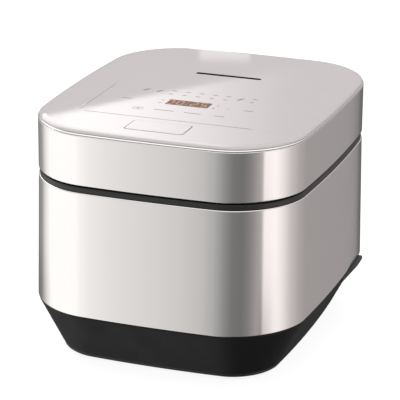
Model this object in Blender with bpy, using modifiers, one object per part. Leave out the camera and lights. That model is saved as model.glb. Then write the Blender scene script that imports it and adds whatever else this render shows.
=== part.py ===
"""Induction rice cooker with a hinged lid, as an assembly of separate pieces.

Metres, +Z up. The front is -Y and +X is to its right. The origin is on the
table, under the middle of the case. The lid is modelled closed.
"""

import math

import bmesh
import bpy
from mathutils import Matrix, Vector

# ---- driving dimensions -------------------------------------------------

CASE_WIDTH = 0.250
CASE_DEPTH = 0.300
CORNER_RADIUS = 0.060
FRONT_BOW = 0.040  # share of the depth that the front loses towards its ends
SIDE_BOW = 0.054  # share of the width that each side loses towards its ends
ARC_STEPS = 6
RUN_STEPS = 4
GAP = 0.0003

FOOT_HEIGHT = 0.0030
PLATE_THICKNESS = 0.0035
BASE_TOP = 0.0505
BASE_INSET = 0.0204  # how far the base pulls in at its foot
BODY_FLARE = 0.0020  # how much the metal body widens on each side towards its foot
BASE_WALL = 0.0025
SHELL_WALL = 0.0008
SHELL_LIP = 0.0050
BODY_TOP = 0.1645
DECK_TOP = 0.1660
DECK_THICKNESS = 0.0025
DECK_RIM_TOP = 0.1695
LID_BOTTOM = 0.1712
LID_BAND_TOP = 0.2162
TRIM_TOP = 0.2177
PANEL_TOP = 0.2205

POT_Y = -0.018
POT_HOLE_RADIUS = 0.1030
POT_RADIUS = 0.0992
POT_WALL = 0.0022
POT_FLANGE_RADIUS = 0.1070
POT_BOTTOM = 0.0485
POT_TURN = 0.0265  # radius of the turn from the pot's floor to its wall
POT_FLOOR_RADIUS = 0.0720
WELL_INNER_RADIUS = 0.1022
WELL_OUTER_RADIUS = 0.1046
WELL_HOLE_RADIUS = 0.0164

HINGE_Y = 0.1415
HINGE_Z = 0.1900
HINGE_PIN_RADIUS = 0.0020
HINGE_BORE_RADIUS = 0.0023
HINGE_TOWER_HALF = 0.0540
HINGE_CUT_HALF = 0.0560
HINGE_CUT_TOP = 0.1990
ARM_CENTRE_X = 0.0600
ARM_WIDTH = 0.0060

BUMPER_EDGE = -0.0052  # the side bumpers stand this far outside the lid's outline
BUMPER_FRONT = 0.0220
BUMPER_REAR = 0.0900

LATCH_Y = -0.1350
LATCH_Z = 0.1980
BUTTON_X = -0.0020  # the button sits a little to the left of the middle
BUTTON_Y = -0.1140
BUTTON_TOP = 0.2208
BUTTON_WIDTH = 0.0536
BUTTON_DEPTH = 0.0276

POST_X = 0.0820
POST_Y = 0.1040
FOOT_X = 0.0700
FOOT_Y = 0.0880
FAN_X = -0.0460
FAN_Y = 0.0620
FAN_FLOOR = 0.0080
CARRIER_Z = 0.0310
INLET_Z = 0.0730
STEAM_Y = 0.0620


# ---- scene and materials ------------------------------------------------

for leftover in list(bpy.data.objects):
    bpy.data.objects.remove(leftover)

cooker = bpy.data.collections.new("rice_cooker")
cutters = bpy.data.collections.new("cutters")
for collection in (cooker, cutters):
    bpy.context.scene.collection.children.link(collection)


def finish(name, colour, roughness, metallic=0.0):
    """A Principled material in linear colour."""
    material = bpy.data.materials.new(name)
    material.use_nodes = True
    shader = material.node_tree.nodes["Principled BSDF"]
    shader.inputs["Base Color"].default_value = (*colour, 1.0)
    shader.inputs["Roughness"].default_value = roughness
    shader.inputs["Metallic"].default_value = metallic
    material.diffuse_color = (*colour, 1.0)
    return material


SATIN_STEEL = finish("satin_champagne_steel", (0.62, 0.56, 0.54), 0.32, 1.0)
BRIGHT_TRIM = finish("bright_trim", (0.80, 0.80, 0.78), 0.15, 1.0)
PANEL_GLOSS = finish("gloss_panel", (0.62, 0.57, 0.56), 0.08)
CHARCOAL = finish("charcoal_plastic", (0.024, 0.024, 0.023), 0.45)
BLACK_PLASTIC = finish("black_plastic", (0.010, 0.010, 0.010), 0.50)
GREY_PLASTIC = finish("grey_plastic", (0.18, 0.18, 0.18), 0.50)
RUBBER = finish("rubber", (0.015, 0.015, 0.015), 0.80)
SILICONE = finish("silicone", (0.45, 0.44, 0.42), 0.60)
STEEL = finish("steel", (0.55, 0.55, 0.56), 0.30, 1.0)
ALUMINIUM = finish("aluminium", (0.70, 0.70, 0.71), 0.35, 1.0)
POT_COATING = finish("pot_coating", (0.03, 0.03, 0.03), 0.35)
COPPER = finish("copper_winding", (0.55, 0.24, 0.11), 0.40, 1.0)
FERRITE = finish("ferrite", (0.03, 0.03, 0.035), 0.60)
BOARD_GREEN = finish("circuit_board", (0.02, 0.12, 0.05), 0.50)
DISPLAY_AMBER = finish("display_amber", (0.60, 0.25, 0.04), 0.30)


# ---- shared modelling steps ---------------------------------------------


def pivot(name, location):
    """An empty on a joint's axis, which the moving pieces hang from."""
    empty = bpy.data.objects.new(name, None)
    empty.location = location
    empty.empty_display_size = 0.01
    cooker.objects.link(empty)
    return empty


def add(name, data, material, parent=None, location=(0.0, 0.0, 0.0)):
    """Links an object whose place is given in the cooker's frame."""
    thing = bpy.data.objects.new(name, data)
    data.materials.append(material)
    cooker.objects.link(thing)
    thing.location = Vector(location)
    if parent is not None:
        thing.parent = parent
        thing.location -= parent.location
    return thing


def add_bmesh(name, bm, material, parent=None):
    """Turns a finished bmesh into a linked object with round faces shaded smooth."""
    mesh = bpy.data.meshes.new(name)
    bm.to_mesh(mesh)
    bm.free()
    mesh.shade_smooth()
    mesh.set_sharp_from_angle(angle=math.radians(35.0))
    return add(name, mesh, material, parent)


def box(bm, low, high):
    """A box between two corners."""
    low, high = Vector(low), Vector(high)
    size = high - low
    place = Matrix.Translation((low + high) / 2) @ Matrix.Diagonal((*size, 1.0))
    bmesh.ops.create_cube(bm, size=1.0, matrix=place)


def rod(bm, start, end, radius, sides=24):
    """A round rod between two points."""
    start, end = Vector(start), Vector(end)
    run = end - start
    turn = run.to_track_quat("Z", "Y").to_matrix().to_4x4()
    place = Matrix.Translation((start + end) / 2) @ turn
    bmesh.ops.create_cone(
        bm,
        cap_ends=True,
        segments=sides,
        radius1=radius,
        radius2=radius,
        depth=run.length,
        matrix=place,
    )


def cutter(name, bm):
    """A hidden shape that Boolean modifiers use."""
    mesh = bpy.data.meshes.new(name)
    bm.to_mesh(mesh)
    bm.free()
    shape = bpy.data.objects.new(name, mesh)
    shape.hide_render = True
    shape.display_type = "WIRE"
    cutters.objects.link(shape)
    return shape


def combine(thing, shape, operation="DIFFERENCE"):
    """Cuts a shape out of a piece, or joins it on."""
    step = thing.modifiers.new(shape.name, "BOOLEAN")
    step.operation = operation
    step.solver = "EXACT"
    step.object = shape


def outline(inset, height):
    """The case's outline at a height: round corners, sides bowed outwards."""
    half_x = CASE_WIDTH / 2 - inset
    half_y = CASE_DEPTH / 2 - inset
    radius = CORNER_RADIUS - inset
    signs = ((1, 1), (-1, 1), (-1, -1), (1, -1))
    corners = []
    for quarter, (sign_x, sign_y) in enumerate(signs):
        for step in range(ARC_STEPS + 1):
            angle = math.pi / 2 * (quarter + step / ARC_STEPS)
            x = sign_x * (half_x - radius) + radius * math.cos(angle)
            y = sign_y * (half_y - radius) + radius * math.sin(angle)
            corners.append(Vector((x, y, height)))
    points = []
    for index, point in enumerate(corners):
        points.append(point)
        if index % (ARC_STEPS + 1) == ARC_STEPS:
            following = corners[(index + 1) % len(corners)]
            for step in range(1, RUN_STEPS):
                points.append(point.lerp(following, step / RUN_STEPS))
    for point in points:
        across = point.x / half_x
        along = point.y / half_y
        point.x *= 1.0 - SIDE_BOW * along * along
        point.y *= 1.0 - FRONT_BOW * across * across
    return points


def grow(bm, ring, points):
    """Extrudes a closed loop of vertices and moves the new loop to its points."""
    edges = [bm.edges.get(pair) for pair in zip(ring, ring[1:] + ring[:1])]
    made = bmesh.ops.extrude_edge_only(bm, edges=edges)["geom"]
    fresh = {item for item in made if isinstance(item, bmesh.types.BMVert)}
    grown = []
    for vert, point in zip(ring, points):
        ends = [edge.other_vert(vert) for edge in vert.link_edges]
        top = next(end for end in ends if end in fresh)
        top.co = point
        grown.append(top)
    return grown


def case_ring(bm, section, capped):
    """Sweeps a section of (inset, height) points round the case's outline."""
    first = [bm.verts.new(point) for point in outline(*section[0])]
    edges = [bm.edges.new(pair) for pair in zip(first, first[1:] + first[:1])]
    ring = first
    for inset, height in section[1:]:
        ring = grow(bm, ring, outline(inset, height))
    if capped:
        edges += [bm.edges.get(pair) for pair in zip(ring, ring[1:] + ring[:1])]
        bmesh.ops.edgeloop_fill(bm, edges=edges)
    else:
        grow(bm, ring, outline(*section[0]))
        bmesh.ops.remove_doubles(bm, verts=bm.verts, dist=0.000001)
    bmesh.ops.recalc_face_normals(bm, faces=bm.faces)


def case_piece(name, section, material, capped=False, parent=None):
    """A piece that follows the case's outline."""
    bm = bmesh.new()
    case_ring(bm, section, capped)
    return add_bmesh(name, bm, material, parent)


def turned(name, profile, centre, material, steps=32, closed=True, parent=None):
    """A turned piece from a profile of (radius, height) points."""
    mesh = bpy.data.meshes.new(name)
    points = [(radius, 0.0, height) for radius, height in profile]
    edges = [(index, index + 1) for index in range(len(points) - 1)]
    if closed:
        edges.append((len(points) - 1, 0))
    mesh.from_pydata(points, edges, [])
    thing = add(name, mesh, material, parent, (centre[0], centre[1], 0.0))
    screw = thing.modifiers.new("turn", "SCREW")
    screw.steps = steps
    screw.render_steps = steps
    screw.use_merge_vertices = True
    screw.merge_threshold = 0.00001
    return thing


def flat_piece(name, outlines, thickness, material, parent=None):
    """A flat outline, with its holes, given a thickness. The result is a mesh at its own origin."""
    curve = bpy.data.curves.new(name, "CURVE")
    curve.dimensions = "2D"
    curve.fill_mode = "BOTH"
    curve.extrude = thickness / 2
    for points in outlines:
        spline = curve.splines.new("POLY")
        spline.points.add(len(points) - 1)
        for target, (x, y) in zip(spline.points, points):
            target.co = (x, y, 0.0, 1.0)
        spline.use_cyclic_u = True
    flat = bpy.data.objects.new(name + "_outline", curve)
    cooker.objects.link(flat)
    bpy.context.view_layer.update()
    evaluated = flat.evaluated_get(bpy.context.evaluated_depsgraph_get())
    mesh = bpy.data.meshes.new_from_object(evaluated)
    mesh.name = name
    bpy.data.objects.remove(flat)
    bm = bmesh.new()
    bm.from_mesh(mesh)
    bmesh.ops.remove_doubles(bm, verts=bm.verts, dist=0.00001)
    bm.to_mesh(mesh)
    bm.free()
    mesh.materials.clear()
    return add(name, mesh, material, parent)


def side_piece(name, outlines, centre_x, thickness, material, parent=None):
    """A flat piece whose outline is drawn in the Y-Z plane."""
    thing = flat_piece(name, outlines, thickness, material, parent)
    thing.rotation_euler = (math.pi / 2, 0.0, math.pi / 2)
    offset = parent.location if parent is not None else Vector()
    thing.location = Vector((centre_x, 0.0, 0.0)) - offset
    return thing


def arc(centre, radius, start, end, steps):
    """Points of an arc, both ends included; angles are in degrees."""
    points = []
    for step in range(steps + 1):
        angle = math.radians(start + (end - start) * step / steps)
        x = centre[0] + radius * math.cos(angle)
        y = centre[1] + radius * math.sin(angle)
        points.append((x, y))
    return points


def circle(centre, radius, steps=16):
    """Points of a full circle."""
    return arc(centre, radius, 0.0, 360.0 * (steps - 1) / steps, steps - 1)


def wire(name, points, radius, material, parent=None):
    """A round wire through a list of points."""
    curve = bpy.data.curves.new(name, "CURVE")
    curve.dimensions = "3D"
    curve.bevel_depth = radius
    curve.bevel_resolution = 2
    curve.use_fill_caps = True
    spline = curve.splines.new("POLY")
    spline.points.add(len(points) - 1)
    offset = parent.location if parent is not None else Vector()
    for target, point in zip(spline.points, points):
        target.co = (*(Vector(point) - offset), 1.0)
    thing = add(name, curve, material)
    if parent is not None:
        thing.parent = parent
    return thing


def coil(name, start, end, radius, wire_radius, turns, material, parent=None):
    """A coil spring along the line from start to end."""
    start, end = Vector(start), Vector(end)
    run = end - start
    side = run.orthogonal().normalized()
    other = run.cross(side).normalized()
    steps = int(turns * 9)
    points = []
    for step in range(steps + 1):
        angle = 2 * math.pi * turns * step / steps
        round_part = side * math.cos(angle) + other * math.sin(angle)
        points.append(start + run * step / steps + round_part * radius)
    return wire(name, points, wire_radius, material, parent)


lid_axis = pivot("lid_axis", (0.0, HINGE_Y, HINGE_Z))
hook_axis = pivot("latch_hook_axis", (0.0, LATCH_Y, LATCH_Z))
button_axis = pivot("button_axis", (BUTTON_X, BUTTON_Y, BUTTON_TOP))
fan_axis = pivot("fan_axis", (FAN_X, FAN_Y, FAN_FLOOR))
sensor_axis = pivot("sensor_axis", (0.0, POT_Y, POT_BOTTOM))


# ---- base ---------------------------------------------------------------


def make_feet():
    """Four push-in rubber feet; each stem passes through the bottom plate."""
    pad_radius = 0.0090
    stem_radius = 0.0030
    profile = (
        (0.0, FOOT_HEIGHT + PLATE_THICKNESS + 0.0010),
        (stem_radius - 0.0005, FOOT_HEIGHT + PLATE_THICKNESS + 0.0010),
        (stem_radius, FOOT_HEIGHT + PLATE_THICKNESS),
        (stem_radius, FOOT_HEIGHT - GAP),
        (pad_radius, FOOT_HEIGHT - GAP),
        (pad_radius, 0.0006),
        (pad_radius - 0.0008, 0.0),
        (0.0, 0.0),
    )
    for end, y in (("front", -FOOT_Y), ("rear", FOOT_Y)):
        for side, x in (("left", -FOOT_X), ("right", FOOT_X)):
            turned(f"foot_{end}_{side}", profile, (x, y), RUBBER, 12, False)


def make_bottom_plate():
    """Moulded plate that closes the base, with posts for the parts above it."""
    plate_inset = BASE_INSET + 0.0010
    plate_top = FOOT_HEIGHT + PLATE_THICKNESS
    section = (
        (plate_inset + 0.0015, FOOT_HEIGHT),
        (plate_inset, FOOT_HEIGHT + 0.0012),
        (plate_inset, plate_top),
    )
    plate = case_piece("bottom_plate", section, BLACK_PLASTIC, True)
    posts = bmesh.new()
    for sign_x in (-1, 1):
        for sign_y in (-1, 1):
            x, y = sign_x * 0.0550, POT_Y + sign_y * 0.0400
            rod(posts, (x, y, plate_top - 0.001), (x, y, CARRIER_Z - GAP), 0.0035, 12)
    for x in (-0.002, 0.066):
        for y in (0.084, 0.106):
            rod(posts, (x, y, plate_top - 0.001), (x, y, 0.0117), 0.0030, 12)
    combine(plate, cutter("plate_posts", posts), "UNION")
    holes = bmesh.new()
    sinks = bmesh.new()
    for sign_x in (-1, 1):
        for sign_y in (-1, 1):
            foot = (sign_x * FOOT_X, sign_y * FOOT_Y)
            rod(holes, (*foot, 0.0), (*foot, 0.010), 0.0033, 16)
            post = (sign_x * POST_X, sign_y * POST_Y)
            rod(holes, (*post, 0.0), (*post, 0.0100), 0.0019, 16)
            rod(sinks, (*post, 0.0), (*post, 0.0050), 0.0042, 16)
    for index in range(-3, 4):
        x = FAN_X + index * 0.0070
        box(holes, (x - 0.0018, FAN_Y - 0.020, 0.0), (x + 0.0018, FAN_Y + 0.020, 0.01))
    for index in range(-3, 4):
        x = index * 0.0080
        box(holes, (x - 0.0018, -0.112, 0.0), (x + 0.0018, -0.086, 0.01))
    combine(plate, cutter("plate_holes", holes))
    combine(plate, cutter("plate_screw_sinks", sinks))


def make_base_skirt():
    """Tapered charcoal base that the metal body stands on."""
    bottom = FOOT_HEIGHT + PLATE_THICKNESS + GAP
    edge = 0.0006 - BODY_FLARE
    section = (
        (BASE_INSET, bottom),
        (edge, BASE_TOP - 0.0012),
        (edge, BASE_TOP),
        (edge + BASE_WALL, BASE_TOP),
        (edge + BASE_WALL, BASE_TOP - 0.0012),
        (BASE_INSET + BASE_WALL, bottom),
    )
    case_piece("base_skirt", section, CHARCOAL)


def make_posts_and_screws():
    """Four tubes between the bottom plate and the deck, and their screws."""
    tube = (
        (0.0050, BODY_TOP - 0.0013),
        (0.0050, FOOT_HEIGHT + PLATE_THICKNESS + GAP),
        (0.0016, FOOT_HEIGHT + PLATE_THICKNESS + GAP),
        (0.0016, BODY_TOP - 0.0013),
    )
    screw = (
        (0.0, 0.0240),
        (0.0006, 0.0235),
        (0.0013, 0.0220),
        (0.0013, 0.0050 - GAP),
        (0.0038, 0.0050 - GAP),
        (0.0038, 0.0040),
        (0.0030, 0.0033),
        (0.0, 0.0033),
    )
    for end, y in (("front", -POST_Y), ("rear", POST_Y)):
        for side, x in (("left", -POST_X), ("right", POST_X)):
            turned(f"support_post_{end}_{side}", tube, (x, y), GREY_PLASTIC, 12)
            turned(f"base_screw_{end}_{side}", screw, (x, y), STEEL, 10, False)


# ---- body ---------------------------------------------------------------


def make_body_shell():
    """Rolled sheet-steel body with a lip at each edge and a hole for the inlet."""
    low = BASE_TOP + GAP
    section = (
        (-BODY_FLARE, low),
        (0.0, BODY_TOP),
        (SHELL_LIP, BODY_TOP),
        (SHELL_LIP, BODY_TOP - SHELL_WALL),
        (SHELL_WALL, BODY_TOP - SHELL_WALL),
        (SHELL_WALL - BODY_FLARE, low + SHELL_WALL),
        (SHELL_LIP - BODY_FLARE, low + SHELL_WALL),
        (SHELL_LIP - BODY_FLARE, low),
    )
    shell = case_piece("body_shell", section, SATIN_STEEL)
    hole = bmesh.new()
    box(hole, (-0.0175, 0.140, INLET_Z - 0.0135), (0.0175, 0.165, INLET_Z + 0.0135))
    combine(shell, cutter("inlet_hole", hole))


def make_side_bumpers():
    """Black moulded lips under the metal at each side, towards the rear."""
    edge = -BODY_FLARE + 0.0003
    section = (
        (edge, BASE_TOP - 0.0001),
        (BUMPER_EDGE + 0.0006, BASE_TOP - 0.0001),
        (BUMPER_EDGE, BASE_TOP - 0.0009),
        (BUMPER_EDGE, BASE_TOP - 0.0034),
        (edge + 0.0014, BASE_TOP - 0.0048),
        (edge, BASE_TOP - 0.0012),
    )
    reach = 0.2
    for side, sign in (("left", -1), ("right", 1)):
        bumper = case_piece(f"side_bumper_{side}", section, BLACK_PLASTIC)
        front = bmesh.new()
        box(front, (-reach, -reach, 0.0), (reach, BUMPER_FRONT, 0.1))
        combine(bumper, cutter(f"bumper_front_cut_{side}", front))
        rear = bmesh.new()
        box(rear, (-reach, BUMPER_REAR, 0.0), (reach, reach, 0.1))
        combine(bumper, cutter(f"bumper_rear_cut_{side}", rear))
        other = bmesh.new()
        box(other, (min(0.0, -sign * reach), -reach, 0.0), (max(0.0, -sign * reach), reach, 0.1))
        combine(bumper, cutter(f"bumper_side_cut_{side}", other))


def make_inlet():
    """Three-pin mains inlet, moulded in one with its pins, set in the rear wall."""
    socket = bmesh.new()
    box(
        socket, (-0.0170, 0.1279, INLET_Z - 0.0130), (0.0170, 0.1531, INLET_Z + 0.0130)
    )
    inlet = add_bmesh("inlet_socket", socket, BLACK_PLASTIC)
    flange = bmesh.new()
    box(
        flange, (-0.0200, 0.1522, INLET_Z - 0.0160), (0.0200, 0.1541, INLET_Z + 0.0160)
    )
    combine(inlet, cutter("inlet_flange", flange), "UNION")
    recess = bmesh.new()
    box(
        recess, (-0.0120, 0.1359, INLET_Z - 0.0080), (0.0120, 0.1650, INLET_Z + 0.0080)
    )
    combine(inlet, cutter("inlet_recess", recess))
    pins = bmesh.new()
    for x, z in ((-0.0070, 0.0010), (0.0, 0.0045), (0.0070, 0.0010)):
        low = (x - 0.0010, 0.1349, INLET_Z + z - 0.0020)
        box(pins, low, (x + 0.0010, 0.1489, INLET_Z + z + 0.0020))
    combine(inlet, cutter("inlet_pins", pins), "UNION")


def make_top_deck():
    """Black frame under the lid: a rim, a plate with the pot's hole, a latch slot."""
    under = DECK_TOP - DECK_THICKNESS
    section = (
        (0.0081, under),
        (0.0081, 0.1580),
        (0.0056, 0.1580),
        (0.0056, BODY_TOP + GAP),
        (0.0010, BODY_TOP + GAP),
        (0.0010, DECK_RIM_TOP - 0.0009),
        (0.0019, DECK_RIM_TOP),
        (0.0055, DECK_RIM_TOP),
        (0.0070, DECK_TOP),
    )
    deck = case_piece("top_deck", section, CHARCOAL, True)
    holes = bmesh.new()
    rod(holes, (0, POT_Y, 0.15), (0, POT_Y, 0.18), POT_HOLE_RADIUS, 40)
    box(holes, (-0.0080, -0.1410, 0.15), (0.0080, -0.1275, 0.18))
    combine(deck, cutter("deck_holes", holes))


# ---- hinge --------------------------------------------------------------


def make_hinge():
    """Moulded bracket on the deck, its steel pin and the two lid springs."""
    radius = 0.0065
    face_front, face_rear = HINGE_Y - radius, HINGE_Y + radius
    foot_bottom = DECK_TOP + GAP
    foot_top = foot_bottom + 0.0030
    outer = [
        (0.1230, foot_bottom),
        (0.1412, foot_bottom),
        (0.1412, DECK_RIM_TOP + GAP),
        (face_rear, DECK_RIM_TOP + GAP),
    ]
    outer += arc((HINGE_Y, HINGE_Z), radius, 0.0, 180.0, 10)
    outer += [(face_front, foot_top), (0.1230, foot_top)]
    bore = circle((HINGE_Y, HINGE_Z), HINGE_BORE_RADIUS)
    bracket = side_piece(
        "hinge_bracket", [outer, bore], 0.0, 2 * HINGE_TOWER_HALF, BLACK_PLASTIC
    )
    slots = bmesh.new()
    for sign in (-1, 1):
        low = (sign * 0.037 - 0.007, face_front - 0.001, HINGE_Z - 0.0055)
        high = (sign * 0.037 + 0.007, HINGE_Y + 0.0053, HINGE_Z + 0.010)
        box(slots, low, high)
    combine(bracket, cutter("spring_slots", slots))
    pin = bmesh.new()
    reach = ARM_CENTRE_X + ARM_WIDTH / 2 + 0.0010
    rod(pin, (-reach, HINGE_Y, HINGE_Z), (reach, HINGE_Y, HINGE_Z), HINGE_PIN_RADIUS, 16)
    add_bmesh("hinge_pin", pin, STEEL)
    for side, sign in (("left", -1), ("right", 1)):
        ends = [(sign * 0.037 + x, HINGE_Y, HINGE_Z) for x in (-0.0055, 0.0055)]
        coil(f"hinge_spring_{side}", *ends, 0.0036, 0.0006, 3.5, STEEL)


def make_hinge_arms():
    """Two lugs on the lid frame that turn on the hinge pin."""
    radius = 0.0055
    foot = 0.1775 + GAP
    for side, sign in (("left", -1), ("right", 1)):
        outer = [(HINGE_Y - 0.0110, foot), (HINGE_Y + 0.0050, foot)]
        outer += arc((HINGE_Y, HINGE_Z), radius, -20.0, 160.0, 9)
        bore = circle((HINGE_Y, HINGE_Z), HINGE_BORE_RADIUS)
        side_piece(
            f"hinge_arm_{side}",
            [outer, bore],
            sign * ARM_CENTRE_X,
            ARM_WIDTH,
            BLACK_PLASTIC,
            lid_axis,
        )


# ---- pot, heater and electronics ----------------------------------------


def make_inner_pot():
    """Pressed pot with a turned-out flange that hangs on the deck."""
    rim = 0.1685
    inner_radius = POT_RADIUS - POT_WALL
    turn_centre = (POT_FLOOR_RADIUS, POT_BOTTOM + POT_TURN)
    inside = arc(turn_centre, POT_TURN - POT_WALL, -90.0, -18.0, 5)
    outside = arc(turn_centre, POT_TURN, -18.0, -90.0, 5)
    profile = [(0.0, POT_BOTTOM + POT_WALL)]
    profile += inside
    profile += [
        (inner_radius, 0.0800),
        (inner_radius, rim - 0.0016),
        (inner_radius + 0.0010, rim - 0.0004),
        (inner_radius + 0.0026, rim),
        (POT_FLANGE_RADIUS - 0.0008, rim),
        (POT_FLANGE_RADIUS, rim - 0.0008),
        (POT_FLANGE_RADIUS, DECK_TOP + GAP),
        (POT_RADIUS, DECK_TOP + GAP),
        (POT_RADIUS, 0.0800),
    ]
    profile += outside
    profile += [(0.0, POT_BOTTOM)]
    turned("inner_pot", profile, (0.0, POT_Y), POT_COATING, 36, False)


def make_pot_well():
    """Heat-proof bucket round the pot, with a hole in its floor for the sensor."""
    top = DECK_TOP - DECK_THICKNESS - GAP
    profile = (
        (WELL_OUTER_RADIUS, top),
        (WELL_OUTER_RADIUS, 0.0620),
        (0.1010, 0.0500),
        (0.0880, 0.0432),
        (WELL_HOLE_RADIUS, 0.0432),
        (WELL_HOLE_RADIUS, 0.0456),
        (0.0868, 0.0456),
        (0.0988, 0.0520),
        (WELL_INNER_RADIUS, 0.0630),
        (WELL_INNER_RADIUS, top),
    )
    turned("pot_well", profile, (0.0, POT_Y), GREY_PLASTIC, 32)


def ring_profile(inner, outer, low, high):
    """A plain rectangular section for a turned ring."""
    return ((outer, high), (outer, low), (inner, low), (inner, high))


def make_heater():
    """Coil carrier, ferrite bars and the two induction windings."""
    centre = (0.0, POT_Y)
    carrier_top = CARRIER_Z + 0.0030
    turned(
        "coil_carrier",
        ring_profile(0.0170, 0.0850, CARRIER_Z, carrier_top),
        centre,
        GREY_PLASTIC,
    )
    bar = Vector((0.0440, 0.0080, 0.0030))
    for index in range(4):
        bm = bmesh.new()
        angle = math.pi / 4 + index * math.pi / 2
        place = Matrix.Rotation(angle, 4, "Z") @ Matrix.Translation((0.0500, 0.0, 0.0))
        middle = Matrix.Translation((0.0, POT_Y, carrier_top + GAP + bar.z / 2))
        size = Matrix.Diagonal((*bar, 1.0))
        bmesh.ops.create_cube(bm, size=1.0, matrix=middle @ place @ size)
        add_bmesh(f"ferrite_bar_{index + 1}", bm, FERRITE)
    coil_low = carrier_top + bar.z + 2 * GAP
    turned(
        "induction_coil_bottom",
        ring_profile(0.0240, 0.0760, coil_low, coil_low + 0.0050),
        centre,
        COPPER,
    )
    turned(
        "induction_coil_side",
        ring_profile(WELL_OUTER_RADIUS + 0.0006, 0.1090, 0.0660, 0.0900),
        centre,
        COPPER,
    )


def make_sensor():
    """Sprung temperature sensor that the pot's floor presses on."""
    floor = CARRIER_Z + 0.0033
    cup = (
        (0.0, floor + 0.0020),
        (0.0137, floor + 0.0020),
        (0.0137, 0.0450),
        (0.0155, 0.0450),
        (0.0155, floor),
        (0.0, floor),
    )
    turned("sensor_housing", cup, (0.0, POT_Y), GREY_PLASTIC, 24, False)
    top = POT_BOTTOM - GAP
    cap = (
        (0.0, top),
        (0.0120, top),
        (0.0128, top - 0.0008),
        (0.0128, top - 0.0082),
        (0.0112, top - 0.0082),
        (0.0112, top - 0.0020),
        (0.0, top - 0.0020),
    )
    turned("bottom_sensor", cap, (0.0, POT_Y), ALUMINIUM, 24, False, sensor_axis)
    low = (0.0, POT_Y, floor + 0.0020 + GAP + 0.0006)
    high = (0.0, POT_Y, top - 0.0020 - GAP - 0.0006)
    coil("sensor_spring", low, high, 0.0070, 0.0005, 3.5, STEEL)


def make_electronics():
    """Power board with its heat sink, the cooling fan and the lead to the board."""
    board = bmesh.new()
    box(board, (-0.0100, 0.0780, 0.0120), (0.0740, 0.1120, 0.0136))
    add_bmesh("power_board", board, BOARD_GREEN)
    fins = 6
    pitch = 0.0050
    comb = [(0.0, 0.0)]
    for index in range(fins):
        x = index * pitch
        comb += [(x, 0.0160), (x + 0.0015, 0.0160)]
        if index < fins - 1:
            comb += [(x + 0.0015, 0.0040), (x + pitch, 0.0040)]
    comb += [((fins - 1) * pitch + 0.0015, 0.0)]
    sink = [(0.0820 + x, 0.0139 + z) for x, z in comb]
    side_piece("heat_sink", [sink], 0.0450, 0.0400, ALUMINIUM)
    frame_half = 0.0270
    bm = bmesh.new()
    box(
        bm,
        (FAN_X - frame_half, FAN_Y - frame_half, FAN_FLOOR),
        (FAN_X + frame_half, FAN_Y + frame_half, FAN_FLOOR + 0.0130),
    )
    housing = add_bmesh("fan_housing", bm, BLACK_PLASTIC)
    bore = bmesh.new()
    centre = (FAN_X, FAN_Y)
    rod(bore, (*centre, FAN_FLOOR + 0.0015), (*centre, 0.03), 0.0250, 32)
    combine(housing, cutter("fan_bore", bore))
    inlets = bmesh.new()
    for index in range(6):
        angle = index * math.pi / 3
        x = FAN_X + 0.0150 * math.cos(angle)
        y = FAN_Y + 0.0150 * math.sin(angle)
        rod(inlets, (x, y, 0.0), (x, y, 0.02), 0.0062, 12)
    combine(housing, cutter("fan_inlets", inlets))
    axle = bmesh.new()
    rod(axle, (*centre, FAN_FLOOR + 0.001), (*centre, FAN_FLOOR + 0.0120), 0.0012, 12)
    combine(housing, cutter("fan_axle", axle), "UNION")
    blades = 7
    rotor = []
    for index in range(blades):
        start = 360.0 * index / blades
        rotor += arc((0.0, 0.0), 0.0090, start, start + 24.0, 3)
        rotor += arc((0.0, 0.0), 0.0235, start + 26.0, start + 50.0, 3)
    hub_bore = circle((0.0, 0.0), 0.0015, 12)
    wheel = flat_piece("fan_rotor", [rotor, hub_bore], 0.0080, BLACK_PLASTIC, fan_axis)
    wheel.location = (0.0, 0.0, 0.0065)
    lead = (
        (0.0, 0.1275, INLET_Z),
        (0.0, 0.1200, INLET_Z),
        (0.0010, 0.1150, INLET_Z - 0.0020),
        (0.0030, 0.1125, INLET_Z - 0.0080),
        (0.0060, 0.1120, INLET_Z - 0.0200),
        (0.0090, 0.1115, INLET_Z - 0.0320),
        (0.0120, 0.1090, INLET_Z - 0.0430),
        (0.0125, 0.1060, INLET_Z - 0.0510),
        (0.0125, 0.1050, 0.0142),
    )
    wire("power_lead", lead, 0.0018, BLACK_PLASTIC)


# ---- lid ----------------------------------------------------------------


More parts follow.
